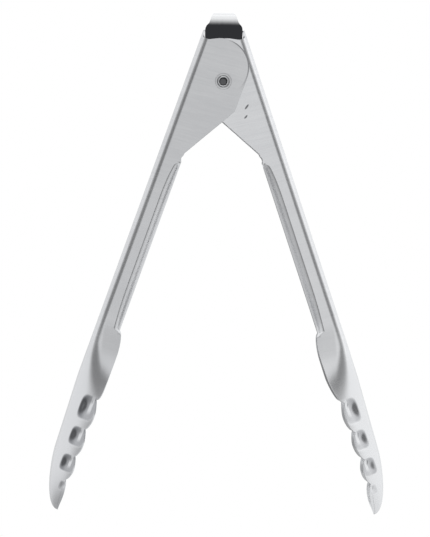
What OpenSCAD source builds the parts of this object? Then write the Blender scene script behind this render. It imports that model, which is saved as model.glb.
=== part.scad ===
// Spring loaded kitchen tongs: two stamped sheet arms on one rivet, pushed apart by a
// torsion spring, with a pull tab at the hinge that holds them closed.
// Frame: millimetres, +Z up with the hinge on top, Y along the pivot, the arms open in X,
// the origin on the surface midway between the two tips.

/* [Arms] */
// Length of an arm from the pivot to its tip
arm_length = 265; // [225:1:320]
// Distance from the pivot to the outer face of an arm's back
back_reach = 21; // [19:0.5:25.5]
// Distance from an arm's centre plane to the handle's inner edge
grip_edge = 6.8; // [5.5:0.1:8.2]
// Outside width of the outer arm
arm_width = 20.6; // [19:0.1:25]
// Thickness of the sheet steel
sheet = 1; // [0.8:0.05:1.2]
// Outer radius of the bend between an arm's back and its walls
back_bend = 4; // [3.2:0.1:4.2]
// Radius of the inward roll along the handle's edges
hem_roll = 4.5; // [3.6:0.1:5]
// Angle that the rolled edge turns through
hem_turn = 95; // [70:1:120]

/* [Ears] */
// Radius of the ear's round top
ear_radius = 16.8; // [15:0.2:17.2]
// Offset of the round top's centre towards the back
ear_offset = 4.6; // [3:0.1:5]
// Height of the round top's centre above the pivot
ear_rise = 7; // [5:0.1:7.4]
// Radius of the ear's lower corner
ear_corner = 6; // [3:0.5:8]
// Distance below the pivot where the ear runs into the handle
ear_foot = 46.3; // [42:0.1:56]
// Height of the back's top end above the pivot
back_top = 24.5; // [22:0.1:25.5]

/* [Heads] */
// Width of a head
head_width = 42; // [34:1:52]
// Length of a head
head_length = 113; // [100:1:130]
// Depth of the notches between the lobes
notch_depth = 2.6; // [1.5:0.1:3.4]
// Depth of the pressed dents beside the notches
dent_depth = 2.2; // [0.5:0.1:3]
// Distance from the arm's centre plane to the tip
tip_offset = 5.1; // [4:0.1:6]

/* [Pivot] */
// Diameter of the rivet's shank
rivet_d = 4.8; // [4:0.1:5.4]
// Diameter of the rivet's head and of its rolled end
rivet_head_d = 6.4; // [5.8:0.1:7]
// Diameter of the pressed dimple around the rivet
dimple_d = 9.5; // [8.6:0.1:11.4]
// Depth of the pressed dimple
dimple_depth = 0.9; // [0.75:0.05:1.1]
// Outside diameter of the spacer sleeve
sleeve_d = 7; // [6:0.1:7.6]

/* [Spring] */
// Diameter of the spring wire
wire_d = 1.6; // [1.3:0.05:1.7]
// Mean diameter of the coil
coil_d = 10.4; // [9.8:0.1:12.4]
// Turns between the two end turns
inner_turns = 3; // [1:1:3]
// Distance down the arm at which a spring leg presses on the back
leg_reach = 38; // [30:1:46]

/* [Lock] */
// Height of the pull tab's top above the pivot
tab_top = 40; // [37:0.5:48]
// Width of the tab at its top
tab_width = 14.6; // [12:0.2:17.4]
// Outside width of the folded strip
strip_width = 10.4; // [10.4:0.1:10.8]
// Thickness of the strip
strip_sheet = 0.8; // [0.6:0.05:0.9]
// Travel of the tab between released and locked
lock_travel = 6.4; // [4:0.1:7]

/* [Motion] */
// Angle of each arm to the vertical when the tongs are open
open_angle = 19.1; // [14:0.1:20]
// Clearance between the two heads when they are closed
mesh_gap = 0.2; // [0.1:0.05:1]

/* [Fits] */
// Radial clearance of the turning fits
turn_fit = 0.05; // [0.02:0.01:0.1]
// Side clearance between the two arms' ears
ear_gap = 0.1; // [0.05:0.05:0.3]
// Clearance of the lock's sliding faces
slide_fit = 0.1; // [0.05:0.05:0.3]

/* [Hidden] */
$fn = 64;
steel = [0.80, 0.81, 0.83];
polished = [0.62, 0.63, 0.65];

// Angle past the vertical at which the closed heads meet, and the pivot's height
closed_angle = atan((tip_offset - mesh_gap / 2) / arm_length);
pivot_height = arm_length * cos(open_angle) - tip_offset * sin(open_angle);
back_inner = back_reach - sheet;

// Widths along the pivot, from the outer arm inwards
outer_half = arm_width / 2;
inner_half = outer_half - sheet - ear_gap;
floor_outer = outer_half - dimple_depth;
floor_inner = floor_outer - sheet;
boss_r = dimple_d / 2 + 0.25;
dimple_floor_r = rivet_head_d / 2 + 0.6;

// The ear: its edge in front of the pivot, the drop to its lower corner, its shoulder's rise,
// and how deep the strip is that carries the back above the shoulder
ear_far = ear_radius - ear_offset;
ear_corner_drop = 12.3;
shoulder_rise = 10.2;
back_strip = 3.6;

// The head: where it starts, its lobes' lengths from the grip to the tip, its front
head_start = arm_length - head_length;
lobe_lengths = [head_length - 67, 18, 16.5, 14.5, 18];
lobe_ends = [for (i = 0, s = head_start + lobe_lengths[0]; i < len(lobe_lengths);
             i = i + 1, s = s + (i < len(lobe_lengths) ? lobe_lengths[i] : 0)) s];
front_length = 38;
knee_length = 35;
taper_length = 78;
taper_slope = 0.04;
loft_start = ear_foot + 7.7;
hem_run = 14;
hem_least = 3;
widen_run = 46;
bowl_run = 50;

// The bowl's corner as shares of the head's half width and depth
bowl_across = 0.78;
bowl_deep = 0.86;

// A dent: its place below a notch and in from the rim, its half length and half width
dent_below = 4.5;
dent_in = 5;
dent_half_length = 3.4;
dent_half_width = 4.6;

// Steps round a bend and round a rolled edge
bend_steps = 9;
roll_steps = 3;

// Blends from 0 to 1 between two places
function ease(x, from, to) = let (t = min(1, max(0, (x - from) / (to - from)))) t * t * (3 - 2 * t);
function mix(a, b, t) = a + (b - a) * t;

// Distance of the closing plane, where the two heads meet, from the arm's centre plane
function meet(a) = a * tan(closed_angle) + mesh_gap / 2;

// The lobe that a place along the arm is on, and how far along that lobe it is
function lobe_at(a) = len([for (e = lobe_ends) if (a > e + 0.001) e]);
function lobe_part(a, i) = (a - (i == 0 ? head_start : lobe_ends[i - 1])) / lobe_lengths[i];

// Inner edge of the handle and head
function rim_rise(i, t) =
    i == 0 ? mix(grip_edge - meet(head_start), notch_depth, t)
    : i == len(lobe_lengths) - 1 ? mix(notch_depth, 0, t) : notch_depth;
function rim(a) =
    a <= head_start ? grip_edge
    : let (i = min(lobe_at(a), len(lobe_lengths) - 1), t = min(1, lobe_part(a, i)),
           lobe = pow(max(0, sin(180 * t)), i == 0 ? 0.5 : 0.65))
      meet(a) + rim_rise(i, t) * (1 - lobe);

// Outer face of the back, with its slow taper and the round nose
function tapered(a) = back_reach - taper_slope * max(0, a - (arm_length - taper_length));
function back(a) =
    let (knee = arm_length - knee_length, t = max(0, (a - knee) / (knee_length + 0.2)))
    a <= knee ? tapered(a)
    : tip_offset + sheet * 0.4 + (tapered(knee) - tip_offset - sheet * 0.4) * sqrt(1 - pow(t, 1.4));

// Half width of the channel and head
function half_width(a, half) =
    let (wide = mix(half, head_width / 2, ease(a, head_start - 4, head_start + widen_run)),
         t = max(0, (a - (arm_length - front_length)) / (front_length + 0.4)))
    wide * sqrt(1 - pow(t, 2.2));

// How far the section has turned from a folded channel to a round bowl
function roundness(a) = ease(a, head_start - 2, head_start + bowl_run);

// Turn of the rolled edge, which fades out at both ends of the handle
function hem_at(a) = hem_least + (hem_turn - hem_least)
    * ease(a, loft_start, loft_start + hem_run) * (1 - ease(a, head_start - 6, head_start + 8));

// Depth of the dents pressed into the sides of the head beside the notches
function dent(a, b) = dent_depth * max([for (i = [0 : len(lobe_ends) - 2])
    exp(-pow((a - lobe_ends[i] - dent_below) / dent_half_length, 2)
        - pow((b - rim(a) - dent_in) / dent_half_width, 4))]);

// One half of the section from the rolled edge to the corner of the back, as [y, b];
// inset is 0 on the outer face and the sheet's thickness on the inner one
function half_section(a, half, inset) =
    let (w = half_width(a, half), top = back(a), low = min(rim(a), top - 0.2 - sheet),
         depth = top - low, r = roundness(a), turn = hem_at(a),
         ry = mix(back_bend, bowl_across * w, r),
         rb = mix(back_bend, bowl_deep * depth, r),
         roll_b = low + hem_roll * sin(min(90, turn)), roll = hem_roll - inset,
         in_w = max(w - inset, 0.4 * w), in_top = max(top - inset, low + 0.05),
         cy = w - ry, cb = top - rb,
         ky = max(in_w - cy, 0.1), kb = max(in_top - cb, 0.02))
    concat(
        [for (k = [0 : roll_steps]) let (t = turn * (1 - k / roll_steps))
            [in_w - roll + roll * cos(t), roll_b - roll * sin(t)]],
        [for (k = [0 : bend_steps]) let (t = 90 * k / bend_steps)
            [cy + (inset > 0 ? ky : ry) * cos(t), cb + (inset > 0 ? kb : rb) * sin(t)]]);

function pressed(p, a) = [p[0] > 1 ? p[0] - dent(a, p[1]) * min(1, p[0] / 12) : p[0], p[1]];

// A closed ring of points around the sheet at one place along the arm
function ring(a, half) =
    let (o = [for (p = half_section(a, half, 0)) pressed(p, a)],
         n = [for (p = half_section(a, half, sheet)) pressed(p, a)],
         last = len(o) - 1)
    concat(
        [for (p = o) [p[1], p[0], -a]],
        [for (i = [last : -1 : 0]) [o[i][1], -o[i][0], -a]],
        [for (p = n) [p[1], -p[0], -a]],
        [for (i = [last : -1 : 0]) [n[i][1], n[i][0], -a]]);

loft_stations = concat(
    [for (i = [0 : 4]) loft_start + hem_run * i / 4],
    [for (i = [1 : 2]) mix(loft_start + hem_run, head_start - 6, i / 2)],
    [for (i = [1 : 2]) head_start - 6 + 3 * i],
    [for (i = [1 : 44]) head_start + head_length * i / 44]);

// Handle with rolled edges and the scalloped head, one continuous sheet
module handle_and_head(half) {
    rings = [for (a = loft_stations) ring(a, half)];
    n = len(rings[0]);
    rows = len(rings);
    polyhedron(
        points = [for (r = rings) each r],
        faces = concat(
            [for (i = [0 : rows - 2], j = [0 : n - 1]) let (k = (j + 1) % n)
                each [[i * n + j, (i + 1) * n + j, (i + 1) * n + k],
                      [i * n + j, (i + 1) * n + k, i * n + k]]],
            [for (j = [0 : n / 2 - 2]) each [
                [j, j + 1, n - 1 - j], [j + 1, n - 2 - j, n - 1 - j]]],
            [for (j = [0 : n / 2 - 2]) let (s = (rows - 1) * n) each [
                [s + j, s + n - 1 - j, s + j + 1], [s + j + 1, s + n - 1 - j, s + n - 2 - j]]]));
}

// Side outline of the ears and the top of the handle, as [outwards, up]
module ear_outline() {
    hull() {
        translate([ear_offset, ear_rise]) circle(r = ear_radius);
        translate([ear_corner - ear_far, -ear_corner_drop]) circle(r = ear_corner, $fn = 32);
        polygon([[grip_edge, -ear_foot], [back_reach + 1, -ear_foot],
                 [back_reach + 1, ear_rise + shoulder_rise]]);
    }
    translate([back_reach - back_strip, 0]) square([back_strip + 1, back_top]);
    translate([grip_edge, -loft_start]) square([back_reach + 1 - grip_edge, loft_start]);
}

// Section of the folded channel, long enough for the ears, as [outwards, across]
module channel_section(half) {
    difference() {
        rounded_back(back_reach, half, back_bend);
        rounded_back(back_inner, half - sheet, back_bend - sheet);
    }
}

// A channel's outline, its round corners in the same steps as the loft that it joins
module rounded_back(reach, half, radius) {
    corner = [for (k = [0 : bend_steps]) let (t = 90 * k / bend_steps)
        [reach - radius + radius * sin(t), half - radius + radius * cos(t)]];
    polygon(concat(
        [[-ear_far - 5, half]], corner,
        [for (k = [bend_steps : -1 : 0]) [corner[k][0], -corner[k][1]]],
        [[-ear_far - 5, -half]]));
}

module ears(half) {
    intersection() {
        translate([0, 0, -loft_start])
            linear_extrude(height = loft_start + back_top + 5) channel_section(half);
        rotate([90, 0, 0])
            linear_extrude(height = 2 * half + 2, center = true) ear_outline();
    }
}

// One arm hanging from the pivot with its back towards +X
module arm(half) {
    ears(half);
    handle_and_head(half);
}

// The outer arm has a pressed dimple on each ear, whose boss carries the inner arm
module outer_arm() {
    difference() {
        union() {
            arm(outer_half);
            for (s = [-1, 1]) scale([1, s, 1]) translate([0, floor_inner, 0]) rotate([-90, 0, 0])
                cylinder(h = outer_half - sheet / 2 - floor_inner, r = boss_r);
        }
        rotate([90, 0, 0]) cylinder(h = arm_width + 2, r = rivet_d / 2 + turn_fit, center = true);
        for (s = [0, 180]) rotate([0, 0, s]) translate([0, floor_outer, 0]) rotate([-90, 0, 0])
            cylinder(h = dimple_depth, r1 = dimple_floor_r, r2 = dimple_d / 2);
    }
}

// The inner arm turns on the outer arm's bosses
module inner_arm() {
    difference() {
        arm(inner_half);
        rotate([90, 0, 0]) cylinder(h = arm_width, r = boss_r + turn_fit, center = true);
    }
}

// Places what hangs from the pivot; side is 1 for the right arm and -1 for the left
module hang(side) {
    translate([0, 0, pivot_height]) mirror([side < 0 ? 1 : 0, 0, 0])
        rotate([0, -open_angle, 0]) children();
}

module left_arm() { color(steel) hang(-1) outer_arm(); }

module right_arm() { color(steel) hang(1) inner_arm(); }

// Semi-tubular rivet: a flat head at the back and a rolled hollow end at the front
module pivot_rivet() {
    head_h = dimple_depth - 2 * turn_fit;
    seat = floor_outer + turn_fit;
    color(steel) translate([0, 0, pivot_height]) difference() {
        union() {
            rotate([90, 0, 0]) cylinder(h = 2 * seat + head_h, r = rivet_d / 2, center = true);
            translate([0, seat, 0]) rotate([-90, 0, 0])
                cylinder(h = head_h, r1 = rivet_head_d / 2, r2 = rivet_head_d / 2 - 0.4);
            translate([0, -seat, 0]) rotate([90, 0, 0])
                cylinder(h = head_h, r1 = rivet_head_d / 2, r2 = rivet_head_d / 2 - 0.5);
        }
        translate([0, -seat - head_h, 0]) rotate([-90, 0, 0]) {
            cylinder(h = 6, r = rivet_d * 0.29);
            cylinder(h = 0.6, r1 = rivet_d * 0.42, r2 = rivet_d * 0.29);
        }
    }
}

// Spacer between the two dimples, which carries the coil and guides the lock
module spacer_sleeve() {
    color(steel) translate([0, 0, pivot_height]) rotate([90, 0, 0]) difference() {
        cylinder(h = 2 * (floor_inner - turn_fit), r = sleeve_d / 2, center = true);
        cylinder(h = arm_width, r = rivet_d / 2 + turn_fit, center = true);
    }
}

// The turns lie side by side, with the end turns outside the coil
turn_pitch = wire_d + 0.08;
end_turn_y = turn_pitch * (inner_turns + 1) / 2;
foot_run = 8;

module turn_at(y) {
    translate([0, y, 0]) rotate([90, 0, 0])
        rotate_extrude() translate([coil_d / 2, 0]) circle(d = wire_d, $fn = 24);
}

module spring_coil() {
    color(polished) translate([0, 0, pivot_height])
        for (i = [1 : inner_turns]) turn_at(-end_turn_y + i * turn_pitch);
}

// An end turn with its straight leg, which leaves the turn along its tangent and ends
// with a foot along the inside of the arm's back
module spring_leg(y) {
    foot = back_inner - wire_d / 2 - slide_fit;
    span = norm([foot, leg_reach]);
    lean = atan2(foot, leg_reach) + asin(coil_d / 2 / span);
    run = sqrt(span * span - coil_d * coil_d / 4);
    turn_at(y);
    translate([0, y, 0]) rotate([0, 180 - lean, 0]) translate([coil_d / 2, 0, 0])
        cylinder(h = run, d = wire_d, $fn = 24);
    translate([foot, y, -leg_reach - foot_run]) {
        cylinder(h = foot_run, d = wire_d, $fn = 24);
        translate([0, 0, foot_run]) sphere(d = wire_d + 0.04, $fn = 24);
    }
}

module spring_leg_left() { color(polished) hang(-1) spring_leg(end_turn_y); }

module spring_leg_right() { color(polished) hang(1) spring_leg(-end_turn_y); }

// The lock's side outline, with the pivot at its origin
wing_r = 2;
wing_z = -lock_travel / 2;
wing_x = (back_inner - slide_fit / 2 - wing_r + sin(closed_angle) * wing_z) / cos(closed_angle);
stop_x = back_inner * cos(open_angle) - back_top * sin(open_angle) - slide_fit;
lobe_r = 1.9;
lobe_z = back_inner * sin(open_angle) + back_top * cos(open_angle) - 0.7;
lobe_low = lobe_z - 2.2;
slot_r = sleeve_d / 2 + slide_fit;
neck_rim = 3;
neck_half = sleeve_d / 2 + neck_rim;
neck_foot = lock_travel + slot_r + neck_rim;
corner_r = 2;
shoulder_r = 0.9;
shoulder_x = tab_width / 2 + 0.3;
shoulder_z = tab_top - 5.9;

module lock_outline() {
    difference() {
        union() {
            hull() for (s = [-1, 1]) {
                translate([s * (tab_width / 2 - corner_r), tab_top - corner_r])
                    circle(r = corner_r, $fn = 32);
                translate([s * shoulder_x, shoulder_z]) circle(r = shoulder_r, $fn = 32);
            }
            hull() for (s = [-1, 1]) {
                translate([s * shoulder_x, shoulder_z]) circle(r = shoulder_r, $fn = 32);
                translate([s * (stop_x - lobe_r), lobe_z]) circle(r = lobe_r, $fn = 32);
                translate([s * (stop_x - lobe_r), lobe_low]) circle(r = lobe_r, $fn = 32);
            }
            translate([-neck_half, -neck_foot]) square([2 * neck_half, lobe_low + neck_foot]);
            translate([-wing_x, wing_z - wing_r]) square([2 * wing_x, 2 * wing_r]);
            for (s = [-1, 1]) translate([s * wing_x, wing_z]) circle(r = wing_r);
        }
        circle(r = slot_r);
        translate([0, -lock_travel]) circle(r = slot_r);
        translate([-slot_r, -lock_travel]) square([2 * slot_r, lock_travel]);
    }
}

// The folded strip's section: a half-round bend over two flat walls
module folded_strip(w) {
    r = strip_width / 2 - w;
    translate([0, tab_top - strip_width / 2]) circle(r = r);
    translate([-r, -tab_top]) square([2 * r, 2 * tab_top - strip_width / 2]);
}

module lock_slider() {
    color(polished) translate([0, 0, pivot_height]) intersection() {
        rotate([90, 0, 90]) linear_extrude(height = 60, center = true) difference() {
            folded_strip(0);
            folded_strip(strip_sheet);
        }
        rotate([90, 0, 0]) linear_extrude(height = strip_width + 2, center = true) lock_outline();
    }
}

left_arm();
right_arm();
pivot_rivet();
spacer_sleeve();
spring_coil();
spring_leg_left();
spring_leg_right();
lock_slider();
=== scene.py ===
import bpy
import math
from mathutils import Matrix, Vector


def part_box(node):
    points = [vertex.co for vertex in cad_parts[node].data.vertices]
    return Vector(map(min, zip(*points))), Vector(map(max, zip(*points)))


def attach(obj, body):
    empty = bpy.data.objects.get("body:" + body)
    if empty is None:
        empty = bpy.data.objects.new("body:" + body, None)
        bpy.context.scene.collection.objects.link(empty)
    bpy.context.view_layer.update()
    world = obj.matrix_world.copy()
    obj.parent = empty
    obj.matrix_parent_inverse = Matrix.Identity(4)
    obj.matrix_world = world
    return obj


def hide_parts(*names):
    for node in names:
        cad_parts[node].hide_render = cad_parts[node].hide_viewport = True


# Spring loaded kitchen tongs: pressed steel arms, rivet, torsion spring and pull tab

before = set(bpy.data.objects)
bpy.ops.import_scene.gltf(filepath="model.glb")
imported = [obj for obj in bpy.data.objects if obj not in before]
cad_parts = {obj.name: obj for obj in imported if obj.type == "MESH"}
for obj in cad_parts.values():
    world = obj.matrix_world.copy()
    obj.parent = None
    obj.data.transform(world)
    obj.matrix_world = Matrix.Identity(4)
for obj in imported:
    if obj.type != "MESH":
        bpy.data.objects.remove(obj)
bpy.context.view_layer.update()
mm = 0.001

rivetLow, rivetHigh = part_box("pivot_rivet")
pivot = (rivetLow + rivetHigh) / 2
print("frame loaded, pivot at", [round(v, 4) for v in pivot])


# Camera, lights and stage

cameraSetup = {"azimuth": -1.2, "distance": 3.0, "lens": 347.4, "roll": 0.95,
               "aimX": -2.8, "aimBelowPivot": 108.0}


def placeCamera(c):
    turn = math.radians(c["azimuth"])
    aim = Vector((c["aimX"] * mm, 0, pivot.z - c["aimBelowPivot"] * mm))
    spot = aim + c["distance"] * Vector((math.sin(turn), -math.cos(turn), 0))
    bpy.ops.object.camera_add(location=spot)
    camera = bpy.context.object
    camera.name = "studioCamera"
    camera.rotation_euler = (aim - spot).to_track_quat("-Z", "Y").to_euler()
    camera.rotation_euler.rotate_axis("Z", math.radians(c["roll"]))
    camera.data.lens = c["lens"]
    camera.data.sensor_width = 36
    camera.data.clip_start = 0.01
    bpy.context.scene.camera = camera


placeCamera(cameraSetup)
bpy.context.scene.view_settings.view_transform = "Standard"


# Shader helpers: numbers over a surface, written as sums and products

class Amount:
    def __init__(self, shading, socket):
        self.shading = shading
        self.socket = socket

    def maths(self, operation, first, second=None):
        given = [v for v in (first, second) if v is not None]
        made = self.shading.add("ShaderNodeMath", {"operation": operation},
                                {i: v for i, v in enumerate(given)})
        return Amount(self.shading, made.outputs[0])

    def __add__(self, other):
        return self.maths("ADD", self, other)

    def __radd__(self, other):
        return self.maths("ADD", other, self)

    def __sub__(self, other):
        return self.maths("SUBTRACT", self, other)

    def __rsub__(self, other):
        return self.maths("SUBTRACT", other, self)

    def __mul__(self, other):
        return self.maths("MULTIPLY", self, other)

    def __rmul__(self, other):
        return self.maths("MULTIPLY", other, self)

    def __truediv__(self, other):
        return self.maths("DIVIDE", self, other)

    def __pow__(self, other):
        return self.maths("POWER", self, other)

    def size(self):
        return self.maths("ABSOLUTE", self)

    def most(self, other):
        return self.maths("MAXIMUM", self, other)

    def least(self, other):
        return self.maths("MINIMUM", self, other)

    def root(self):
        return self.maths("SQRT", self)

    # 0 below start, 1 above end, smooth between them
    def step(self, start, end):
        made = self.shading.add("ShaderNodeMapRange", {"interpolation_type": "SMOOTHSTEP"},
                                {"Value": self, "From Min": start, "From Max": end})
        return Amount(self.shading, made.outputs["Result"])


class Shading:
    def __init__(self, owner):
        owner.use_nodes = True
        self.tree = owner.node_tree
        self.tree.nodes.clear()

    def add(self, kind, settings, sockets):
        made = self.tree.nodes.new(kind)
        for name, value in settings.items():
            if name == "stops":
                while len(made.color_ramp.elements) < len(value):
                    made.color_ramp.elements.new(0.5)
                for stop, (place, shade) in zip(made.color_ramp.elements, value):
                    stop.position = place
                    stop.color = (shade, shade, shade, 1)
            else:
                setattr(made, name, value)
        for name, value in sockets.items():
            if isinstance(value, Amount):
                value = value.socket
            if isinstance(value, bpy.types.NodeSocket):
                self.tree.links.new(value, made.inputs[name])
            else:
                made.inputs[name].default_value = value
        return made

    def number(self, node, output=0):
        return Amount(self, node.outputs[output])

    # Object coordinates turned and stretched to lie along a piece
    def along(self, scale, turnY=0.0, place=(0, 0, 0)):
        where = self.add("ShaderNodeTexCoord", {}, {})
        turned = self.add("ShaderNodeMapping", {"vector_type": "POINT"},
                          {"Vector": where.outputs["Object"], "Rotation": (0, turnY, 0), "Location": place})
        stretched = self.add("ShaderNodeVectorMath", {"operation": "MULTIPLY"},
                             {0: turned.outputs[0], 1: scale})
        return stretched.outputs[0]

    def noise(self, scale, detail=2.0, roughness=0.5, turnY=0.0, place=(0, 0, 0)):
        made = self.add("ShaderNodeTexNoise", {"noise_dimensions": "3D"},
                        {"Vector": self.along(scale, turnY, place), "Scale": 1.0,
                         "Detail": detail, "Roughness": roughness})
        return Amount(self, made.outputs[0])

    def axes(self):
        parts = self.add("ShaderNodeSeparateXYZ", {}, {0: self.along((1, 1, 1))})
        return [Amount(self, parts.outputs[i]) for i in range(3)]

    # Distance outwards to an arm's back, and distance down the arm from the pivot
    def armAxes(self, side):
        x, y, z = self.axes()
        lean = math.radians(armShape["open"])
        aside, up = (x - pivot.x) * side, z - pivot.z
        return aside * math.cos(lean) + up * math.sin(lean), aside * math.sin(lean) - up * math.cos(lean)

    def blendColour(self, factor, low, high):
        made = self.add("ShaderNodeMix", {"data_type": "RGBA"}, {0: factor, 6: low, 7: high})
        return made.outputs[2]

    def surface(self, sockets):
        shader = self.add("ShaderNodeBsdfPrincipled", {}, sockets)
        self.add("ShaderNodeOutputMaterial", {}, {"Surface": shader.outputs[0]})

    def relief(self, height, distance, strength=1.0):
        made = self.add("ShaderNodeBump", {}, {"Height": height, "Distance": distance, "Strength": strength})
        return made.outputs[0]


# The studio round the object: pale walls, a grey front and a dark gap beside it

studio = {"front": 0.86, "gap": 0.27, "side": 1.0, "rear": 0.85, "turn": 0.02, "flatten": 0.75,
          "lowLeft": 0.50, "lowRight": 0.86, "rightLift": 0.05, "roof": 0.9}


def lightStudio(s):
    world = bpy.data.worlds.new("studio")
    bpy.context.scene.world = world
    w = Shading(world)
    where = w.add("ShaderNodeTexCoord", {}, {})
    parts = w.add("ShaderNodeSeparateXYZ", {}, {0: where.outputs["Generated"]})
    x, y, z = [w.number(parts, i) for i in range(3)]
    across = x + y * s["turn"]
    rise = z * s["flatten"]
    off = (across * across + rise * rise).root()
    facing = (0 - y) / (off * off + y * y).root()
    overhead = (rise / off.most(0.001)).step(0.75, 0.97)
    # from straight behind the object, 0, to straight in front of it, 1
    ring = w.add("ShaderNodeValToRGB",
                 {"stops": [(0, s["rear"]), (0.05, s["rear"]), (0.12, s["side"]), (0.62, s["side"]),
                            (0.79, s["gap"]), (0.972, s["gap"]), (0.991, s["front"]), (1, s["front"])]},
                 {"Fac": facing * 0.5 + 0.5})
    below = 1 - z.step(-0.55, 0.12)
    right = x.step(-0.2, 0.2)
    low = s["lowLeft"] + right * (s["lowRight"] - s["lowLeft"])
    far = 1 - facing.step(0.3, 0.9)
    dimmed = 1 - below * far * (1 - low)
    shade = w.number(ring)
    shade = shade + overhead * (shade.most(s["roof"]) - shade)
    lit = (shade + right * far * s["rightLift"]) * dimmed
    tinted = w.add("ShaderNodeMix", {"data_type": "RGBA", "blend_type": "MULTIPLY"},
                   {0: 1.0, 6: w.add("ShaderNodeCombineColor", {}, {0: lit, 1: lit, 2: lit}).outputs[0],
                    7: (0.985, 0.992, 1.0, 1)})
    path = w.add("ShaderNodeLightPath", {}, {})
    seen = w.add("ShaderNodeMix", {"data_type": "RGBA"},
                 {0: path.outputs["Is Camera Ray"], 6: tinted.outputs[2], 7: (1, 1, 1, 1)})
    shine = w.add("ShaderNodeBackground", {}, {"Color": seen.outputs[2], "Strength": 1.0})
    w.add("ShaderNodeOutputWorld", {}, {"Surface": shine.outputs[0]})


lightStudio(studio)

lamps = [{"name": "leftLamp", "at": (-0.9, -0.5, 0.9), "size": 0.8, "power": 0.3},
         {"name": "rightLamp", "at": (0.9, -0.4, 0.8), "size": 0.8, "power": 0.4},
         {"name": "backLamp", "at": (0.1, 1.0, 0.9), "size": 0.9, "power": 1.0}]

for lamp in lamps:
    bpy.ops.object.light_add(type="AREA", location=lamp["at"])
    light = bpy.context.object
    light.name = lamp["name"]
    light.data.energy = lamp["power"]
    light.data.size = lamp["size"]
    light.rotation_euler = (Vector((0, 0, 0.14)) - light.location).to_track_quat("-Z", "Y").to_euler()


def layFloor():
    bpy.ops.mesh.primitive_plane_add(size=6, location=(0, 0, -0.0004))
    floor = bpy.context.object
    floor.name = "paleFloor"
    pale = bpy.data.materials.new("paleFloor")
    s = Shading(pale)
    glow = s.add("ShaderNodeEmission", {}, {"Color": (1, 1, 1, 1), "Strength": 1.0})
    s.add("ShaderNodeOutputMaterial", {}, {"Surface": glow.outputs[0]})
    floor.data.materials.append(pale)
    floor.visible_glossy = False
    floor.visible_diffuse = False
    floor.visible_shadow = False


layFloor()
print("camera, lights and floor are in place")


# Materials

steelLook = {"pale": (0.90, 0.905, 0.915), "dull": (0.78, 0.785, 0.80), "rough": 0.2,
             "brushing": (50, 50, 1200), "brushTilt": 14, "grain": (900, 900, 900),
             "clouds": (38, 38, 22), "smears": (16, 16, 70),
             # Next: the colour of the painted shade in the dents, of the painted shadow line at an ear's
             # edge, and of the scratches
             "dentShadow": (0.22, 0.225, 0.24, 1), "edgeShadow": (0.16, 0.16, 0.17, 1),
             "nick": (0.10, 0.10, 0.11, 1)}


# Painted shadow: a thin dark line just inside the ear's round edge, where the outer ear lies over the inner
# one
def earShadowLine(outward, along):
    a = armShape
    fromCentreOut = outward - a["earOffset"] * mm
    fromCentreUp = along + a["earRise"] * mm
    radius = (fromCentreOut * fromCentreOut + fromCentreUp * fromCentreUp).root()
    line = radius.step((a["earRadius"] - 0.9) * mm, (a["earRadius"] - 0.4) * mm)
    return line * (1 - outward.step(-0.001, 0.007)) * (1 - along.step(-0.013, 0.003))


# Short scratches on the front of an ear, placed from the pivot in millimetres
def nickMarks(s, nicks):
    x, y, z = s.axes()
    front = (0 - y).step(0.0, 0.002)
    marks = None
    for cx, cz, halfLong, halfWide, lean in nicks:
        aside, up = x - (pivot.x + cx * mm), z - (pivot.z + cz * mm)
        c, n = math.cos(math.radians(lean)), math.sin(math.radians(lean))
        u, v = aside * c + up * n, up * c - aside * n
        far = (u / (halfLong * mm)) ** 2 + (v / (halfWide * mm)) ** 2
        mark = (1 - far.step(0.5, 1.0)) * front
        marks = mark if marks is None else marks.most(mark)
    return marks


# Painted shade in the pressed dents, darker away from the rim, with a line on the rim side kept bright as a
# painted highlight
def dentShadeMask(outward, along, rimInset):
    fromMeet = outward - along * math.tan(math.radians(armShape["closed"]))
    dentShadow = None
    for notch, (below, inFrom, halfLong, halfWide, depth) in zip(lobeEnds(armShape), armShape["dents"]):
        u = (along - (notch + below) * mm) / (halfLong * mm)
        v = (fromMeet - (inFrom + 0.6 * rimInset) * mm) / (halfWide * mm)
        inside = 1 - (u.size() ** 4 + v.size() ** 4).step(0.35, 1.0)
        # Painted highlight: a line on the dent's rim side left out of the painted shade
        litLine = (1 - (v + 0.28).size().step(0.1, 0.24)) * (1 - u.step(0.1, 0.6))
        spot = inside * (1 - litLine) * (0.72 + v.step(-0.1, 0.4) * 0.28) * min(1, depth / 1.6)
        dentShadow = spot if dentShadow is None else dentShadow.most(spot)
    return dentShadow
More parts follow.
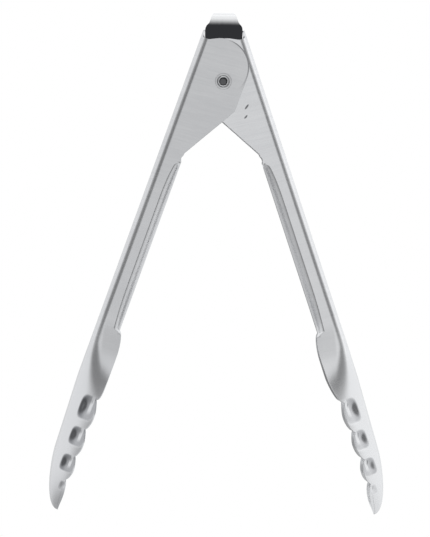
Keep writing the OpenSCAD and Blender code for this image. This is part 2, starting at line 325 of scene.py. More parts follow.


# Brushed sheet: streaks across the arm over soft clouds; painted shade scales each arm's colour and blends it
# towards a set head shade
def armSteel(name, arm):
    made = bpy.data.materials.new(name)
    s = Shading(made)
    tilt = arm["side"] * math.radians(steelLook["brushTilt"])
    brushing = s.noise(steelLook["brushing"], 4, 0.65, tilt)
    grain = s.noise(steelLook["grain"], 2, 0.5, tilt)
    clouds = s.noise(steelLook["clouds"], 3, 0.55, tilt, (0.3, 0.1, 0.2))
    smears = s.noise(steelLook["smears"], 4, 0.6, tilt, (0.7, 0.2, 0.4))
    tone = clouds.step(0.3, 0.75) * 0.5 + smears.step(0.35, 0.7) * 0.3 + brushing * 0.2
    tone = (tone + (brushing - 0.5) * 1.6).least(1.0).most(0.0)
    # Painted shade: each arm's colours scaled by its own shade, the left arm darker than the right
    dull, pale = [(*[c * arm["shade"] for c in steelLook[key]], 1) for key in ("dull", "pale")]
    colour = s.blendColour(tone, dull, pale)
    outward, along = s.armAxes(arm["side"])
    # Painted shade: towards the head the colour blends to the arm's set head shade
    headShading = along.step(0.04, 0.09) * 0.35 + along.step(0.15, 0.2) * 0.55
    colour = s.blendColour(headShading, colour, (*arm["headShade"], 1))
    # Painted shade in the dents, stronger on the left arm
    dentShadow = dentShadeMask(outward, along, arm["rimInset"])
    colour = s.blendColour(dentShadow * arm["dentShading"], colour, steelLook["dentShadow"])
    # Painted shadow line along the ear's round edge
    if arm["edgeShadow"]:
        colour = s.blendColour(earShadowLine(outward, along) * 0.75, colour, steelLook["edgeShadow"])
    if arm["nicks"]:
        colour = s.blendColour(nickMarks(s, arm["nicks"]) * 0.85, colour, steelLook["nick"])
    rough = steelLook["rough"] + brushing * 0.07 + clouds * 0.05
    bump = s.relief(brushing * 0.7 + grain * 0.3, 0.00002, 0.35)
    s.surface({"Base Color": colour, "Metallic": 1.0, "Roughness": rough, "Normal": bump})
    return made


# hollow is how far in front of the pivot a bore's painted shade starts: its inside is painted dark as the
# shadow in the hole
def plainSteel(name, pale, dull, rough, stretch, hollow=None):
    made = bpy.data.materials.new(name)
    s = Shading(made)
    marks = s.noise(stretch, 3, 0.6)
    spots = s.noise((300, 300, 300), 2, 0.5)
    colour = s.blendColour(marks.step(0.3, 0.75) * 0.7 + spots * 0.3, (*dull, 1), (*pale, 1))
    if hollow is not None:
        # Painted shade inside the rivet's bore
        x, y, z = s.axes()
        inside = (y + hollow * mm).step(-0.0002, 0.0006) * (1 - y.step(0.0, 0.002))
        colour = s.blendColour(inside * 0.92, colour, (0.06, 0.06, 0.065, 1))
    bump = s.relief(marks * 0.6 + spots * 0.4, 0.00001, 0.3)
    s.surface({"Base Color": colour, "Metallic": 1.0, "Roughness": rough + marks * 0.12, "Normal": bump})
    return made


# The folded strip: its walls painted near black as a painted reflection of the dark front, its bend painted
# bright as a painted highlight, a little darker at the crown as painted shade
def stripSteel(bendStart):
    made = bpy.data.materials.new("polishedStrip")
    s = Shading(made)
    x, y, z = s.axes()
    wipes = s.noise((260, 260, 30), 3, 0.6)
    # Painted reflection and highlight: dark below the bend's start, bright above it
    bendLit = (z + wipes * 0.0008 - bendStart).step(-0.0003, 0.0042)
    # Painted shade along the crown of the bend
    crown = (z - bendStart).step(0.0054, 0.0065)
    bright = s.blendColour(crown, (0.93, 0.935, 0.94, 1), (0.66, 0.665, 0.675, 1))
    colour = s.blendColour(bendLit, (0.034, 0.035, 0.038, 1), bright)
    rough = 0.08 + wipes * 0.05 + bendLit * 0.1
    bump = s.relief(wipes, 0.00001, 0.2)
    s.surface({"Base Color": colour, "Metallic": 1.0, "Roughness": rough, "Normal": bump})
    return made


# Piece helpers

def clearSelection():
    if bpy.context.mode != "OBJECT":
        bpy.ops.object.mode_set(mode="OBJECT")
    bpy.ops.object.select_all(action="DESELECT")


def pickOnly(piece):
    clearSelection()
    piece.select_set(True)
    bpy.context.view_layer.objects.active = piece


def addModifier(piece, name, kind, **settings):
    pickOnly(piece)
    made = piece.modifiers.new(name, kind)
    for key, value in settings.items():
        setattr(made, key, value)
    bpy.ops.object.modifier_apply(modifier=name)


def settle(piece):
    pickOnly(piece)
    bpy.ops.object.transform_apply(location=True, rotation=True, scale=True)


def smoothOver(piece, angle=30):
    pickOnly(piece)
    bpy.ops.object.shade_smooth_by_angle(angle=math.radians(angle))


def finishPiece(piece, look, body, slotName, *nodes):
    piece.data.materials.clear()
    piece.data.materials.append(look)
    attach(piece, body)
    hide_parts(*nodes)
    print(piece.name, "done,", len(piece.data.polygons), "faces")


# A turned piece: a ring of profile points [radius, along Y] spun round the pivot's axis
def turnPiece(name, profile, closed=True, steps=72):
    clearSelection()
    bpy.ops.mesh.primitive_circle_add(vertices=len(profile), radius=0.01, fill_type="NOTHING")
    piece = bpy.context.object
    piece.name = name
    for vertex, (radius, along) in zip(piece.data.vertices, profile):
        vertex.co = (radius * mm, along * mm, 0)
    if not closed:
        # an open profile loses the edge that joins its two ends
        for vertex in piece.data.vertices:
            vertex.select = False
        bpy.ops.object.mode_set(mode="EDIT")
        bpy.ops.mesh.select_mode(type="EDGE")
        bpy.ops.object.mode_set(mode="OBJECT")
        for edge in piece.data.edges:
            edge.select = set(edge.vertices) == {0, len(profile) - 1}
        bpy.ops.object.mode_set(mode="EDIT")
        bpy.ops.mesh.delete(type="EDGE")
        bpy.ops.mesh.select_mode(type="VERT")
    else:
        bpy.ops.object.mode_set(mode="EDIT")
    bpy.ops.mesh.select_all(action="SELECT")
    bpy.ops.mesh.spin(steps=steps, angle=2 * math.pi, center=(0, 0, 0), axis=(0, 1, 0))
    bpy.ops.mesh.select_all(action="SELECT")
    bpy.ops.mesh.remove_doubles(threshold=0.000002)
    bpy.ops.mesh.normals_make_consistent(inside=False)
    bpy.ops.object.mode_set(mode="OBJECT")
    piece.location = pivot
    settle(piece)
    return piece


# Arms

# Millimetres and degrees; a dent is its place below a notch and in from the closing line, its
# half length, half width and depth
armShape = {
    "length": 265, "reach": 21, "grip": 6.8, "sheet": 1.0, "bend": 4.8, "open": 19.1, "closed": 1.0809,
    "earRadius": 16.8, "earOffset": 4.6, "earRise": 7.0, "earCorner": 6.0, "earCornerDrop": 12.3,
    "earFoot": 46.3, "backTop": 24.5, "wallTop": 20.0,
    "headWidth": 42, "headLength": 113, "notch": 2.6, "tip": 5.1, "lobes": [46, 18, 16.5, 14.5, 18],
    "nose": 38, "knee": 35, "taper": 78, "taperSlope": 0.04, "bulgeStart": 155.5,
    "bowlAcross": 0.78, "bowlDeep": 0.86, "headLean": 32, "leanStart": 166, "leanEnd": 203,
    "hemStart": 52.6, "hemFull": 76, "hemEnd": 157.5, "hemWide": 5.1, "hemTurn": 62,
    "crease": 34, "creaseRound": 1.1,
    "hemColumns": 13, "creaseColumns": 5, "wallColumns": 12, "bendColumns": 26, "backColumns": 8,
    "thinStart": 240, "thinEnd": 256, "thinBy": 0.7,
    "dents": [(5.4, 5.2, 7.8, 5.2, 2.3), (4.9, 4.7, 6.0, 4.8, 2.0),
              (4.7, 4.4, 5.4, 4.5, 1.8), (3.6, 2.3, 2.8, 2.6, 0.5)],
}

# The outer arm has the left side's ears, and the inner arm's rim lies a little further in.
# Each arm's overall colour and its head colour are painted shade, set darker on the left arm than on the
# right; with them go how strong the painted shade in the dents is and whether the ear gets the painted shadow
# line.
# A nick is its place from the pivot, its half length, half width and lean
armSides = {
    "left": {"side": -1, "half": 10.3, "bore": 4.98, "rimInset": 0, "shade": 0.80,
             "headShade": (0.70, 0.705, 0.72), "dentShading": 0.85, "edgeShadow": True, "nicks": []},
    "right": {"side": 1, "half": 9.2, "bore": 5.05, "rimInset": 2.6, "shade": 0.95,
              "headShade": (0.76, 0.765, 0.775), "dentShading": 0.55, "edgeShadow": False,
              "nicks": [(13.8, -14.4, 2.0, 0.6, 55), (13.4, -20.2, 1.5, 0.55, 50)]},
}


def ease(x, start, end):
    t = min(1, max(0, (x - start) / (end - start)))
    return t * t * (3 - 2 * t)


def mix(low, high, t):
    return low + (high - low) * t


def lobeEnds(s):
    ends, at = [], s["length"] - s["headLength"]
    for run in s["lobes"]:
        at += run
        ends.append(at)
    return ends


def meetLine(s, a):
    return a * math.tan(math.radians(s["closed"])) + 0.1


# Inner edge of the handle and of the scalloped head
def rimEdge(s, a):
    if a <= s["bulgeStart"]:
        return s["grip"] + 0.75 * ease(a, 47.2, 49.6) * (1 - ease(a, 49.8, 52.6))
    ends = lobeEnds(s)
    i = min(sum(1 for e in ends if a > e + 0.001), len(ends) - 1)
    start = s["bulgeStart"] if i == 0 else ends[i - 1]
    t = min(1, max(0, (a - start) / (ends[i] - start)))
    inset = s["rimInset"] * ease(a, 180, 203) * (1 - ease(a, 232, 262))
    if i == 0:
        rise = mix(s["grip"] - meetLine(s, a), s["notch"], ease(t, 0.2, 0.9))
    elif i == len(ends) - 1:
        rise = mix(s["notch"], 0, t)
    else:
        rise = s["notch"]
    if i == 0:
        lobe = math.sin(math.pi / 2 * min(1, t / 0.4)) ** 0.55 * (1 - t ** 14) ** 0.55
    else:
        lobe = max(0, math.sin(math.pi * t ** 1.3)) ** 0.62
    return meetLine(s, a) + inset + rise * (1 - lobe)


def backFace(s, a):
    def tapered(q):
        return s["reach"] - s["taperSlope"] * max(0, q - (s["length"] - s["taper"]))
    knee = s["length"] - s["knee"]
    if a <= knee:
        return tapered(a)
    t = max(0, (a - knee) / (s["knee"] + 0.2))
    low = s["tip"] + s["sheet"] * 0.4
    return low + (tapered(knee) - low) * math.sqrt(max(0, 1 - t ** 1.4))


def halfWidth(s, a, half):
    headStart = s["length"] - s["headLength"]
    wide = mix(half, s["headWidth"] / 2, ease(a, headStart - 4, headStart + 46))
    t = max(0, (a - (s["length"] - s["nose"])) / (s["nose"] + 0.4))
    return wide * math.sqrt(max(0, 1 - t ** 2.2))


# Width of the pressed strip along the handle's edge, 0 where there is none
def hemStrip(s, a):
    if a <= s["hemStart"] or a >= s["hemEnd"]:
        return 0.0
    rise = min(1, (a - s["hemStart"]) / (s["hemFull"] - s["hemStart"]))
    start = mix(0.45, 1.0, math.sqrt(1 - (1 - rise) ** 2)) * ease(a, s["hemStart"] - 1.5, s["hemStart"] + 2.2)
    fall = min(1, max(0, (s["hemEnd"] - a) / 30))
    end = mix(0.55, 1.0, math.sqrt(1 - (1 - fall) ** 2)) * ease(s["hemEnd"] - a, -1.0, 2.4)
    return s["hemWide"] * min(start, end)


# One half of the outer face at distance a along the arm, from the edge to the middle of the back
def halfSection(s, a, half):
    w = halfWidth(s, a, half)
    top = backFace(s, a)
    low = min(rimEdge(s, a), top - 0.2 - s["sheet"])
    headStart = s["length"] - s["headLength"]
    r = ease(a, headStart - 2, headStart + 50)
    strip = hemStrip(s, a)
    press = min(1, strip / 2.0)
    strip = max(strip, min(3, 0.35 * (top - low)) * (1 - press), 0.3)
    turn, crease = math.radians(s["hemTurn"]) * press + 0.0005, math.radians(s["crease"]) * press
    tight = min(s["creaseRound"], 0.3 * strip / max(0.05, math.sin(crease)))
    radius = (strip - tight * math.sin(crease)) / (math.sin(turn) - math.sin(crease))
    depth = top - low
    bendY = mix(s["bend"], s["bowlAcross"] * w, r)
    bendB = mix(s["bend"], s["bowlDeep"] * depth, r)
    creaseY, creaseB = w - tight * (1 - math.cos(crease)), low + strip - tight * math.sin(crease)
    points = []
    rolled = s["hemColumns"] - s["creaseColumns"]
    for k in range(rolled):
        t = mix(turn, crease, k / rolled)
        points.append((creaseY - radius * (math.cos(crease) - math.cos(t)),
                       creaseB - radius * (math.sin(t) - math.sin(crease))))
    for k in range(s["creaseColumns"]):
        t = crease * (1 - k / (s["creaseColumns"] - 1))
        points.append((w - tight * (1 - math.cos(t)), low + strip - tight * math.sin(t)))
    wallLow, wallHigh = low + strip, top - bendB
    for k in range(s["wallColumns"]):
        t = 0.02 if k == 0 else k / s["wallColumns"]
        points.append((w, mix(wallLow, wallHigh, t)))
    for k in range(s["bendColumns"]):
        turned = math.radians(90) * k / (s["bendColumns"] - 1)
        points.append((w - bendY * (1 - math.cos(turned)), top - bendB + bendB * math.sin(turned)))
    for k in range(s["backColumns"]):
        points.append(((w - bendY) * (1 - (k + 1) / s["backColumns"]), top))
    opened = min(1, 5 * r)
    if opened == 0:
        return points
    bowl = spreadAlong(bowlCurve(s, a, w, top, r), low, points)
    return [(mix(p[0], q[0], opened), mix(p[1], q[1], opened)) for p, q in zip(points, bowl)]


# The head's smooth section: a wall that leans out towards its rim and opens into a bowl
def bowlCurve(s, a, w, top, r):
    base = min(meetLine(s, a), top - 1.2)
    lean = math.tan(math.radians(s["headLean"]) * ease(a, s["leanStart"], s["leanEnd"]))
    cornerY = max(0.25 * w, w - lean * (top - base))
    wallHigh = top - mix(s["bend"] / max(5, top - base), 0.9, r) * (top - base)
    endY = cornerY * (1 - mix(s["bend"] / max(5, cornerY), 1.0, r))
    startY = w - (w - cornerY) * (wallHigh - base) / (top - base)
    curve = [(w, base)]
    for k in range(49):
        t = k / 48
        curve.append(((1 - t) ** 2 * startY + 2 * t * (1 - t) * cornerY + t * t * endY,
                      (1 - t) ** 2 * wallHigh + (1 - (1 - t) ** 2) * top))
    if endY > 0.001:
        curve.append((0, top))
    return curve


# Points on a curve from height low to its end, spaced as the points of a pattern are
def spreadAlong(curve, low, pattern):
    first = max(i for i, p in enumerate(curve) if p[1] <= low + 1e-9)
    t = (low - curve[first][1]) / max(1e-9, curve[first + 1][1] - curve[first][1])
    path = [(mix(curve[first][0], curve[first + 1][0], t), low)] + curve[first + 1:]
    runs, want = [0], [0]
    for p, q in zip(path, path[1:]):
        runs.append(runs[-1] + math.dist(p, q))
    for p, q in zip(pattern, pattern[1:]):
        want.append(want[-1] + math.dist(p, q))
    found, i = [], 0
    for place in want:
        place = place * runs[-1] / want[-1]
        while i < len(path) - 2 and runs[i + 1] < place:
            i += 1
        t = min(1, (place - runs[i]) / max(1e-9, runs[i + 1] - runs[i]))
        found.append((mix(path[i][0], path[i + 1][0], t), mix(path[i][1], path[i + 1][1], t)))
    found[-1] = (0, found[-1][1])
    return found


def pressDents(s, a, points):
    ends = lobeEnds(s)
    pressed = []
    for y, b in points:
        deepest = 0
        for notch, (below, inFrom, halfLong, halfWide, depth) in zip(ends, s["dents"]):
            u = abs(a - notch - below) / halfLong
            v = abs(b - meetLine(s, a) - inFrom - 0.6 * s["rimInset"]) / halfWide
            far = (u ** 3.2 + v ** 3.2) ** (1 / 3.2)
            deepest = max(deepest, depth * (1 - ease(far, 0.1, 1.0)))
        pressed.append((y - deepest * min(1, y / 9), b))
    return pressed


# Outline of an ear from the middle of its round top to the grip's edge, as [outwards, down]
def earOutline(s):
    top = (s["earOffset"], -s["earRise"])
    corner = (s["earCorner"] - (s["earRadius"] - s["earOffset"]), s["earCornerDrop"])
    foot = (s["grip"], s["earFoot"])
    points = []
    for k in range(27):
        t = math.radians(90 + 90 * k / 26)
        points.append((top[0] + s["earRadius"] * math.cos(t), top[1] - s["earRadius"] * math.sin(t)))
    for k in range(1, 8):
        points.append((corner[0] - s["earCorner"], mix(top[1], corner[1], k / 8)))
    dx, dz = foot[0] - corner[0], foot[1] - corner[1]
    span = math.hypot(dx, dz)
    heading = math.atan2(dz, dx)
    leave = heading + math.acos(s["earCorner"] / span)
    for k in range(13):
        t = mix(math.pi, leave, k / 12)
        points.append((corner[0] + s["earCorner"] * math.cos(t), corner[1] + s["earCorner"] * math.sin(t)))
    last = points[-1]
    for k in range(1, 19):
        points.append((mix(last[0], foot[0], k / 18), mix(last[1], foot[1], k / 18)))
    return points


# The top edge from the middle of the round top to where the back's bend starts
def earTop(s, count):
    centre = (s["earOffset"], -s["earRise"])
    end = (s["reach"] - s["bend"], -s["wallTop"])
    dx, dz = end[0] - centre[0], end[1] - centre[1]
    span = math.hypot(dx, dz)
    touch = math.atan2(dz, dx) - math.acos(min(1, s["earRadius"] / span))
    path = []
    for k in range(41):
        t = mix(-math.pi / 2, touch, k / 40)
        path.append((centre[0] + s["earRadius"] * math.cos(t), centre[1] + s["earRadius"] * math.sin(t)))
    for k in range(1, 21):
        path.append((mix(path[40][0], end[0], k / 20), mix(path[40][1], end[1], k / 20)))
    runs = [0]
    for p, q in zip(path, path[1:]):
        runs.append(runs[-1] + math.hypot(q[0] - p[0], q[1] - p[1]))
    found = []
    for k in range(count):
        want = runs[-1] * k / (count - 1)
        i = max(j for j in range(len(runs)) if runs[j] <= want + 1e-9)
        i = min(i, len(path) - 2)
        t = (want - runs[i]) / max(1e-9, runs[i + 1] - runs[i])
        found.append((mix(path[i][0], path[i + 1][0], t), mix(path[i][1], path[i + 1][1], t)))
    return found


# All rows of one half of the arm's outer face, each a list of [outwards, across, down]
def armRows(s, half):
    rows = []
    outline = earOutline(s)
    flat = s["hemColumns"] + s["wallColumns"]
    topEdge = earTop(s, flat + 1)
    lengths = [0]
    for p, q in zip(outline, outline[1:]):
        lengths.append(lengths[-1] + math.hypot(q[0] - p[0], q[1] - p[1]))
    for j, (edgeB, edgeA) in enumerate(outline):
        t = lengths[j] / lengths[-1]
        backA = mix(-s["wallTop"], s["earFoot"], t)
        bendStart = s["reach"] - s["bend"]
        bulge = max(0, 1 - j / 10) ** 2
        slant = (s["backTop"] - s["wallTop"]) * max(0, 1 - t / 0.3) ** 2
        row = []
        for k in range(flat):
            u = k / flat
            b, a = mix(edgeB, bendStart, u), mix(edgeA, backA, u)
            straight = (mix(topEdge[0][0], topEdge[-1][0], u), mix(topEdge[0][1], topEdge[-1][1], u))
            row.append((b + bulge * (topEdge[k][0] - straight[0]), half,
                        a + bulge * (topEdge[k][1] - straight[1])))
        for k in range(s["bendColumns"]):
            turn = math.radians(90) * k / (s["bendColumns"] - 1)
            row.append((bendStart + s["bend"] * math.sin(turn), half - s["bend"] * (1 - math.cos(turn)),
                        backA - slant * ease(k / (s["bendColumns"] - 1), 0.4, 1.0)))
        for k in range(s["backColumns"]):
            row.append((s["reach"], (half - s["bend"]) * (1 - (k + 1) / s["backColumns"]), backA - slant))
        rows.append(row)
    places = [s["earFoot"] + 0.55 * k for k in range(1, 24)]
    places += [mix(places[-1], 76, k / 14) for k in range(1, 15)]
    places += [mix(76, 138, k / 16) for k in range(1, 17)]
    places += [mix(138, 148, k / 8) for k in range(1, 9)]
    places += [mix(148, 158, k / 22) for k in range(1, 23)]
    places += [mix(158, 198, k / 30) for k in range(1, 31)]
    ends = lobeEnds(s)
    for start, end, count in zip(ends, ends[1:], [26, 24, 22, 26]):
        places += [mix(start, end, (1 - math.cos(math.pi * k / count)) / 2) for k in range(1, count + 1)]
    for a in places:
        rows.append([(b, y, a) for y, b in pressDents(s, a, halfSection(s, a, half))])
    return rows


def makeArm(name, side, half, s):
    halfRows = armRows(s, half)
    across = 2 * len(halfRows[0]) - 2
    along = len(halfRows) - 1
    clearSelection()
    bpy.ops.mesh.primitive_grid_add(x_subdivisions=across, y_subdivisions=along, size=2)
    arm = bpy.context.object
    arm.name = name
    tilt = math.radians(s["open"])
    middle = len(halfRows[0]) - 1
    # the sheet is pressed thinner towards the tip
    full = arm.vertex_groups.new(name="full")
    for vertex in arm.data.vertices:
        i = round((vertex.co.x + 1) / 2 * across)
        j = round((1 - vertex.co.y) / 2 * along)
        b, y, a = halfRows[j][i if i <= middle else across - i]
        y = -y if i <= middle else y
        vertex.co = (side * (b * math.cos(tilt) + a * math.sin(tilt)) * mm, y * mm,
                     (b * math.sin(tilt) - a * math.cos(tilt)) * mm)
        full.add([vertex.index], 1 - s["thinBy"] * ease(a, s["thinStart"], s["thinEnd"]), "REPLACE")
    arm.location = pivot
    settle(arm)
    # the back faces away from the other arm
    spot = max(arm.data.polygons, key=lambda f: side * f.center.x if f.center.z > 0.05 else -1)
    if spot.normal.x * side < 0:
        pickOnly(arm)
        bpy.ops.object.mode_set(mode="EDIT")
        bpy.ops.mesh.select_all(action="SELECT")
        bpy.ops.mesh.flip_normals()
        bpy.ops.object.mode_set(mode="OBJECT")
    addModifier(arm, "sheet", "SOLIDIFY", thickness=s["sheet"] * mm, offset=-1, use_quality_normals=True,
                vertex_group="full")
    for vertex in arm.data.vertices:
        vertex.co.z = max(vertex.co.z, 0)
    return arm


def boreArm(arm, radius):
    clearSelection()
    bpy.ops.mesh.primitive_cylinder_add(vertices=72, radius=radius * mm, depth=0.03, location=pivot,
                                        rotation=(math.pi / 2, 0, 0))
    cutter = bpy.context.object
    settle(cutter)
    addModifier(arm, "bore", "BOOLEAN", operation="DIFFERENCE", object=cutter, solver="EXACT")
    bpy.data.objects.remove(cutter)


# Pressed cups round the rivet: rim, sloping wall, floor with the rivet's hole
cupShape = {"outer": 5.0, "lip": 4.8, "floor": 3.4, "hole": 2.46, "depth": 0.9, "sheet": 1.0}


def addCups(arm, half, c):
    inner = half - c["sheet"]
    profile = [(c["outer"], half - 0.003), (c["lip"], half - 0.02), (c["lip"] - 0.1, half - 0.1),
               (c["lip"] - 0.2, half - 0.24), (c["lip"] - 0.3, half - 0.27), (c["lip"] - 0.45, half - 0.275),
               (c["floor"] + 0.3, half - 0.29), (c["floor"] + 0.1, half - 0.34),
               (c["floor"], half - c["depth"] + 0.1), (c["floor"] - 0.1, half - c["depth"]),
               (c["hole"] + 0.1, half - c["depth"]), (c["hole"], half - c["depth"] - 0.1),
               (c["hole"], inner - c["depth"]), (c["floor"], inner - c["depth"]),
               (c["lip"] - 0.2, inner - 0.35), (c["outer"], inner + 0.05)]
    for y in (-1, 1):
        cup = turnPiece("cup", [(r, y * d) for r, d in profile])
        pickOnly(arm)
        cup.select_set(True)
        bpy.ops.object.join()


def buildArm(name, key, node, steel):
    arm = armSides[key]
    piece = makeArm(name, arm["side"], arm["half"], {**armShape, "rimInset": arm["rimInset"]})
    boreArm(piece, arm["bore"])
    if key == "left":
        addCups(piece, arm["half"], cupShape)
    smoothOver(piece)
    finishPiece(piece, steel, node, "arm_sheet", node)


steelLeft = armSteel("brushedSteelLeft", armSides["left"])
steelRight = armSteel("brushedSteelRight", armSides["right"])
buildArm("leftArm", "left", "left_arm", steelLeft)
buildArm("rightArm", "right", "right_arm", steelRight)


# Rivet: domed head at the back, rolled hollow end at the front, and the spacer sleeve

rivetShape = {"shank": 2.4, "head": 3.2, "seat": 9.45, "face": 10.25, "bore": 1.95, "boreDepth": 5}


def makeRivet(r):
    seat, face, head = r["seat"], r["face"], r["head"]
    profile = [(0, -face + r["boreDepth"]), (r["bore"], -face + r["boreDepth"]), (r["bore"], -face + 1.0),
               (r["bore"] + 0.3, -face + 0.45), (r["bore"] + 0.55, -face + 0.12),
               (r["bore"] + 0.72, -face + 0.02),
               (head - 0.28, -face), (head - 0.08, -face + 0.12), (head, -face + 0.4), (head, -seat - 0.12),
               (head - 0.12, -seat), (r["shank"], -seat), (r["shank"], seat), (head - 0.1, seat),
               (head, seat + 0.1), (head, face - 0.45), (head - 0.25, face - 0.2), (head - 0.9, face - 0.05),
               (0, face)]
    rivet = turnPiece("rivet", profile, closed=False)
    smoothOver(rivet, 40)
    return rivet


rivetSteel = plainSteel("rivetSteel", (0.86, 0.865, 0.875), (0.62, 0.625, 0.64), 0.14,
                        (700, 700, 700), 9.9)
finishPiece(makeRivet(rivetShape), rivetSteel, "pivot", "rivet_steel", "pivot_rivet")

sleeveShape = {"outer": 3.5, "inner": 2.45, "half": 8.33}


def makeSleeve(v):
    profile = [(v["inner"], -v["half"]), (v["outer"] - 0.15, -v["half"]), (v["outer"], -v["half"] + 0.15),
               (v["outer"], v["half"] - 0.15), (v["outer"] - 0.15, v["half"]), (v["inner"], v["half"])]
    sleeve = turnPiece("sleeve", profile)
    smoothOver(sleeve)
    return sleeve


finishPiece(makeSleeve(sleeveShape), rivetSteel, "pivot", "rivet_steel", "spacer_sleeve")
print("pivot done")


# Torsion spring: the coil's middle turns, and an end turn with its leg on each arm

springShape = {"wire": 1.6, "coil": 10.4, "turns": 3, "pitch": 1.68, "reach": 38, "foot": 8,
               "inner": 20.0, "fit": 0.1}
wireSteel = plainSteel("springWire", (0.72, 0.725, 0.74), (0.50, 0.505, 0.52), 0.2, (200, 200, 1200))


def drawWire(name, points, thick):
    clearSelection()
    bpy.ops.curve.primitive_nurbs_path_add()
    wire = bpy.context.object
    wire.name = name
    wire.data.splines.clear()
    line = wire.data.splines.new("POLY")
    line.points.add(len(points) - 1)
    for spot, (x, y, z) in zip(line.points, points):
        spot.co = (x * mm, y * mm, z * mm, 1)
    wire.data.dimensions = "3D"
    wire.data.bevel_depth = thick / 2 * mm
    wire.data.bevel_resolution = 6
    wire.data.use_fill_caps = True
    wire.location = pivot
    bpy.ops.object.convert(target="MESH")
    wire = bpy.context.object
    settle(wire)
    bpy.ops.object.mode_set(mode="EDIT")
    bpy.ops.mesh.select_all(action="SELECT")
    bpy.ops.mesh.remove_doubles(threshold=0.000001)
    bpy.ops.mesh.normals_make_consistent(inside=False)
    bpy.ops.object.mode_set(mode="OBJECT")
    smoothOver(wire, 50)
    return wire


def coilPoints(p):
    count = p["turns"] * 48
    run = p["pitch"] * p["turns"]
    radius = p["coil"] / 2
    points = []
    for k in range(count + 1):
        t = 2 * math.pi * p["turns"] * k / count
        points.append((radius * math.cos(t), -run / 2 + run * k / count, radius * math.sin(t)))
    return points


# In the arm's own directions the leg leaves the end turn along its tangent and ends on the back
def legPoints(p, side, y, tilt):
    radius = p["coil"] / 2
    foot = p["inner"] - p["wire"] / 2 - p["fit"]
    span = math.hypot(foot, p["reach"])
    lean = math.atan2(foot, p["reach"]) + math.asin(radius / span)
    flat = []
    for k in range(43):
        t = math.pi + lean - 2 * math.pi * 0.97 * (1 - k / 42)
        flat.append((radius * math.cos(t), radius * math.sin(t)))
    start = flat[-1]
    run = math.sqrt(span * span - radius * radius)
    way = (math.sin(lean), -math.cos(lean))
    end = (start[0] + way[0] * run, start[1] + way[1] * run)
    corner = 3.0
    for k in range(1, 12):
        flat.append((mix(start[0], end[0], k / 12), mix(start[1], end[1], k / 12)))
    near = (end[0] - way[0] * corner, end[1] - way[1] * corner)
    past = (foot, -p["reach"] - corner)
    for k in range(9):
        t = k / 8
        flat.append(((1 - t) ** 2 * near[0] + 2 * t * (1 - t) * foot + t * t * past[0],
                     (1 - t) ** 2 * near[1] - 2 * t * (1 - t) * p["reach"] + t * t * past[1]))
    flat.append((foot, -p["reach"] - p["foot"]))
    turned = []
    for b, h in flat:
        turned.append((side * (b * math.cos(tilt) - h * math.sin(tilt)), y,
                       b * math.sin(tilt) + h * math.cos(tilt)))
    return turned


tilt = math.radians(armShape["open"])
endTurn = springShape["pitch"] * (springShape["turns"] + 1) / 2
wires = [("springCoil", coilPoints(springShape), "pivot", "spring_coil"),
         ("springLegLeft", legPoints(springShape, -1, endTurn, tilt), "left_arm", "spring_leg_left"),
         ("springLegRight", legPoints(springShape, 1, -endTurn, tilt), "right_arm", "spring_leg_right")]
for name, points, body, node in wires:
    finishPiece(drawWire(name, points, springShape["wire"]), wireSteel, body, "spring_wire", node)
print("spring done")


# Lock: a folded strip with its tab on top, a slot over the sleeve and wings at its foot

lockShape = {"top": 40.0, "strip": 10.4, "sheet": 0.8, "foot": -13.0, "neck": 6.5, "wingHalf": 19.7,
             "wingMiddle": -3.2, "wingRound": 2.0, "slot": 3.6, "travel": 6.4, "edge": 0.18}


# Half width of the strip at a height above the pivot
def lockHalf(k, z):
    edges = [(k["top"] + 0.01, 4.9), (39.85, 5.6), (39.4, 6.3), (38.7, 6.85), (38.0, 7.15), (34.6, 8.3),
             (33.6, 8.9), (32.6, 9.9), (31.6, 10.5), (30.6, 10.72), (29.0, 10.76), (27.0, 10.74),
             (24.4, 10.7), (23.9, 10.4),
             (23.7, 9.6), (23.5, k["neck"])]
    if z <= edges[-1][0]:
        return k["neck"]
    for (za, wa), (zb, wb) in zip(edges, edges[1:]):
        if z >= zb:
            return mix(wb, wa, min(1, (z - zb) / (za - zb)))
    return k["neck"]


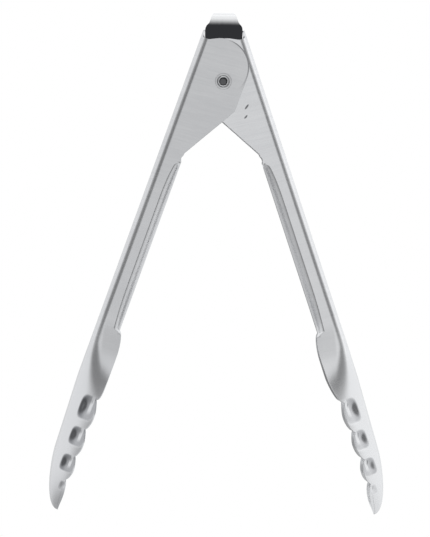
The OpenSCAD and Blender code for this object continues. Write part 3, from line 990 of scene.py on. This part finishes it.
def makeLock(k):
    radius = k["strip"] / 2
    bendStart = k["top"] - radius
    heights = [k["foot"], -8, -3, 3, 9, 15, 21, 23.4]
    heights += [23.4 + (bendStart - 23.4) * i / 26 for i in range(1, 27)]
    walls = [(-radius, z) for z in heights]
    turns = [math.pi * i / 32 for i in range(1, 32)]
    bend = [(-radius * math.cos(t), bendStart + radius * math.sin(t)) for t in turns]
    path = walls + bend + [(radius, z) for z in reversed(heights)]
    along, across = len(path) - 1, 20
    clearSelection()
    bpy.ops.mesh.primitive_grid_add(x_subdivisions=across, y_subdivisions=along, size=2)
    lock = bpy.context.object
    lock.name = "lockSlider"
    for vertex in lock.data.vertices:
        j = round((1 - vertex.co.y) / 2 * along)
        y, z = path[j]
        vertex.co = (vertex.co.x * lockHalf(k, z) * mm, y * mm, z * mm)
    lock.location = pivot
    settle(lock)
    top = max(lock.data.polygons, key=lambda f: f.center.z)
    if top.normal.z < 0:
        pickOnly(lock)
        bpy.ops.object.mode_set(mode="EDIT")
        bpy.ops.mesh.select_all(action="SELECT")
        bpy.ops.mesh.flip_normals()
        bpy.ops.object.mode_set(mode="OBJECT")
    addModifier(lock, "sheet", "SOLIDIFY", thickness=k["sheet"] * mm, offset=-1,
                use_quality_normals=True)
    # wings: a rounded bar through each wall, kept between the wall's faces
    for y in (-1, 1):
        clearSelection()
        bpy.ops.mesh.primitive_cylinder_add(vertices=48, radius=k["wingRound"] * mm,
                                            depth=k["sheet"] * mm, rotation=(math.pi / 2, 0, 0))
        wings = bpy.context.object
        settle(wings)
        for vertex in wings.data.vertices:
            vertex.co.x += math.copysign((k["wingHalf"] - k["wingRound"]) * mm, vertex.co.x + 1e-9)
        wings.location = pivot + Vector((0, y * (radius - k["sheet"] / 2) * mm, k["wingMiddle"] * mm))
        settle(wings)
        addModifier(lock, "wings", "BOOLEAN", operation="UNION", object=wings, solver="EXACT")
        bpy.data.objects.remove(wings)
    # slot that lets the strip slide over the sleeve
    clearSelection()
    bpy.ops.mesh.primitive_cylinder_add(vertices=48, radius=k["slot"] * mm, depth=0.03,
                                        rotation=(math.pi / 2, 0, 0))
    slot = bpy.context.object
    settle(slot)
    for vertex in slot.data.vertices:
        if vertex.co.z < -0.00001:
            vertex.co.z -= k["travel"] * mm
    slot.location = pivot
    settle(slot)
    addModifier(lock, "slot", "BOOLEAN", operation="DIFFERENCE", object=slot, solver="EXACT")
    bpy.data.objects.remove(slot)
    addModifier(lock, "edges", "BEVEL", width=k["edge"] * mm, segments=2, limit_method="ANGLE",
                angle_limit=math.radians(50))
    smoothOver(lock)
    return lock


bendHeight = pivot.z + (lockShape["top"] - lockShape["strip"] / 2) * mm
finishPiece(makeLock(lockShape), stripSteel(bendHeight - 0.0016), "lock", "polished_strip",
            "lock_slider")
print("lock done")
